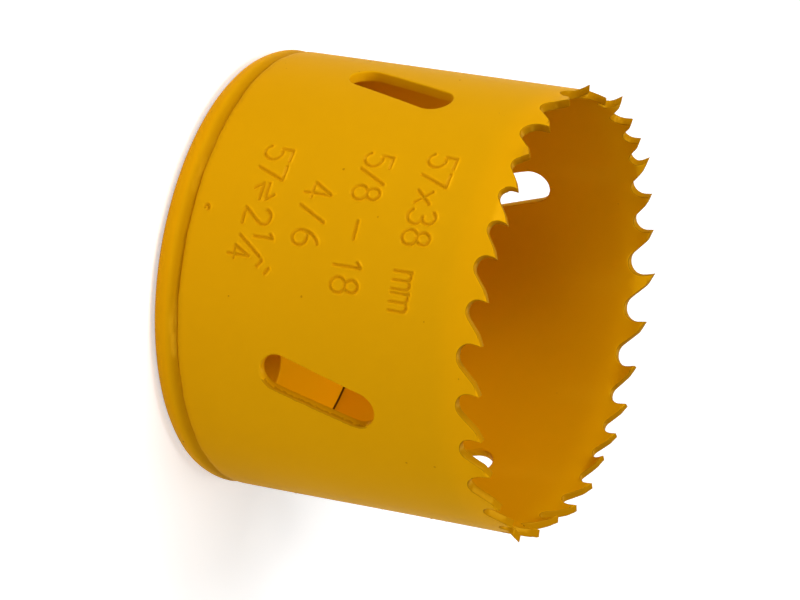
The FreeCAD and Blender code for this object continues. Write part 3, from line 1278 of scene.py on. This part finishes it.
def nib_paint():
    """Paint over dust, a little darker than the paint around it."""
    material, maker = new_material("paint over dust")
    cloud = noise(maker, object_place(maker), DUST_SCALE)
    tint = maker.blend(cloud, DUST_COLOUR, DUST_CLOUD)
    normal = maker.node("ShaderNodeNewGeometry", output="Normal")
    glossed(maker, paint_body(maker, tint), DUST_ROUGHNESS, normal)
    return material


def paint_nibs(cup, material):
    """Few low grains in the paint of the cup."""
    ground = linked("nib ground", cup.data.copy())
    sizes = {"Least size": LEAST_NIB * MM, "Most size": MOST_NIB * MM}
    values = {"Density": NIB_DENSITY, "Seed": NIB_SEED, **sizes}
    return grown(ground, nib_tree(), material, values, "paint_nibs")


# Studio

# The table: its white, how strongly it shows white, half its width and its place below the saw
WHITE = (1.0, 1.0, 1.0, 1.0)
TABLE_WHITE = (0.9, 0.9, 0.9, 1.0)
SEEN_GLOW = 0.5
TABLE_HALF = 4.0
TABLE_DROP = 0.02 * MM

# What lamps and camera are aimed at
MIDDLE = Vector((0.0, 0.0, 22.0 * MM))

# Each lamp: its name, azimuth, elevation, size in metres and watts
LAMPS = (
    ("front top", -20.0, 65.0, 0.25, 1.3),
    ("left top", -90.0, 65.0, 0.25, 1.15),
    ("left key", -62.0, 35.0, 0.25, 1.3),
    ("low key", -42.0, 8.0, 0.2, 0.5),
    ("low fill", 42.0, 8.0, 0.2, 0.7),
    ("right fill", 80.0, 35.0, 0.25, 0.7),
    ("back", 180.0, 35.0, 0.25, 0.5),
)
LAMP_DISTANCE = 0.65

# The photograph's camera: where it stands, how it is rolled, and its frame's offset in pixels
CAMERA_ELEVATION = 23.443
CAMERA_ROLL = 99.316
CAMERA_DISTANCE = 482.4 * MM
CAMERA_FOCUS_PIXELS = 3810.0
FRAME_WIDTH = 800
FRAME_OFFSET = (6.22, 11.44)
SENSOR = 36.0


def seen_white(maker):
    """1 for what the camera sees, straight or in a reflection or through something clear."""
    straight = maker.node("ShaderNodeLightPath", output="Is Camera Ray")
    mirrored = maker.maths("MAXIMUM", straight, maker.other(straight, "Is Glossy Ray"))
    return maker.maths("MAXIMUM", mirrored, maker.other(straight, "Is Transmission Ray"))


def pale_floor():
    """A plain white table top."""
    material, maker = new_material("white table top")
    plain = maker.node("ShaderNodeBsdfDiffuse", {"Color": TABLE_WHITE})
    strength = seen_white(maker) * SEEN_GLOW
    glow = maker.node("ShaderNodeEmission", {"Color": WHITE, "Strength": strength})
    both = maker.node("ShaderNodeAddShader", {0: plain, 1: glow})
    maker.node("ShaderNodeOutputMaterial", {0: both})
    mesh = bpy.data.meshes.new("table top")
    corners = [(-1, -1), (1, -1), (1, 1), (-1, 1)]
    mesh.from_pydata([(x * TABLE_HALF, y * TABLE_HALF, -TABLE_DROP) for x, y in corners], [], [(0, 1, 2, 3)])
    mesh.materials.append(material)
    floor = linked("table top", mesh)


def pale_world():
    """Walls round the table that are white where they are seen and give no light."""
    world = bpy.data.worlds.new("white walls")
    world.use_nodes = True
    bpy.context.scene.world = world
    maker = Maker(world.node_tree)
    walls = maker.node("ShaderNodeBackground", {"Color": WHITE, "Strength": seen_white(maker)})
    maker.node("ShaderNodeOutputWorld", {0: walls})


def way_to(azimuth, elevation):
    """The way from the saw to a lamp or camera, azimuth 0 on the -Y side and 90 on +X."""
    turn = math.radians(azimuth)
    lift = math.radians(elevation)
    return Vector((math.sin(turn) * math.cos(lift), -math.cos(turn) * math.cos(lift), math.sin(lift)))


def soft_lamp(name, azimuth, elevation, size, energy):
    """A square soft box that faces the saw."""
    back = way_to(azimuth, elevation)
    data = bpy.data.lights.new(name, "AREA")
    data.shape = "SQUARE"
    data.size = size
    data.energy = energy
    lamp = linked(name, data)
    lamp.location = MIDDLE + back * LAMP_DISTANCE
    lamp.rotation_mode = "QUATERNION"
    lamp.rotation_quaternion = (-back).to_track_quat("-Z", "Y")


def photo_camera():
    """The camera that sees the saw as the photograph does, rolled onto its side."""
    roll = math.radians(CAMERA_ROLL)
    back = way_to(0.0, CAMERA_ELEVATION)
    side = Vector((1.0, 0.0, 0.0))
    rise = back.cross(side)
    right = side * math.cos(roll) + rise * math.sin(roll)
    up = rise * math.cos(roll) - side * math.sin(roll)
    data = bpy.data.cameras.new("photo camera")
    data.sensor_width = SENSOR
    data.lens = SENSOR * CAMERA_FOCUS_PIXELS / FRAME_WIDTH
    data.shift_x = -FRAME_OFFSET[0] / FRAME_WIDTH
    data.shift_y = -FRAME_OFFSET[1] / FRAME_WIDTH
    data.clip_start = 0.01
    data.clip_end = 20.0
    camera = linked("photo camera", data)
    turn = Matrix((right, up, back)).transposed().to_4x4()
    camera.matrix_world = Matrix.Translation(MIDDLE + back * CAMERA_DISTANCE) @ turn
    bpy.context.scene.camera = camera


def main():
    """The painted pieces in their places, and the studio round them."""
    bpy.context.scene.view_settings.view_transform = "Standard"
    paint = yellow_paint()
    cup = painted_cup(paint)
    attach(cup, "root")
    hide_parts("cup_wall")
    plate = painted_plate(paint)
    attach(plate, "root")
    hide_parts("end_plate")
    nibs = paint_nibs(cup, nib_paint())
    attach(nibs, "root")
    pale_floor()
    pale_world()
    for lamp in LAMPS:
        soft_lamp(*lamp)
    photo_camera()


main()
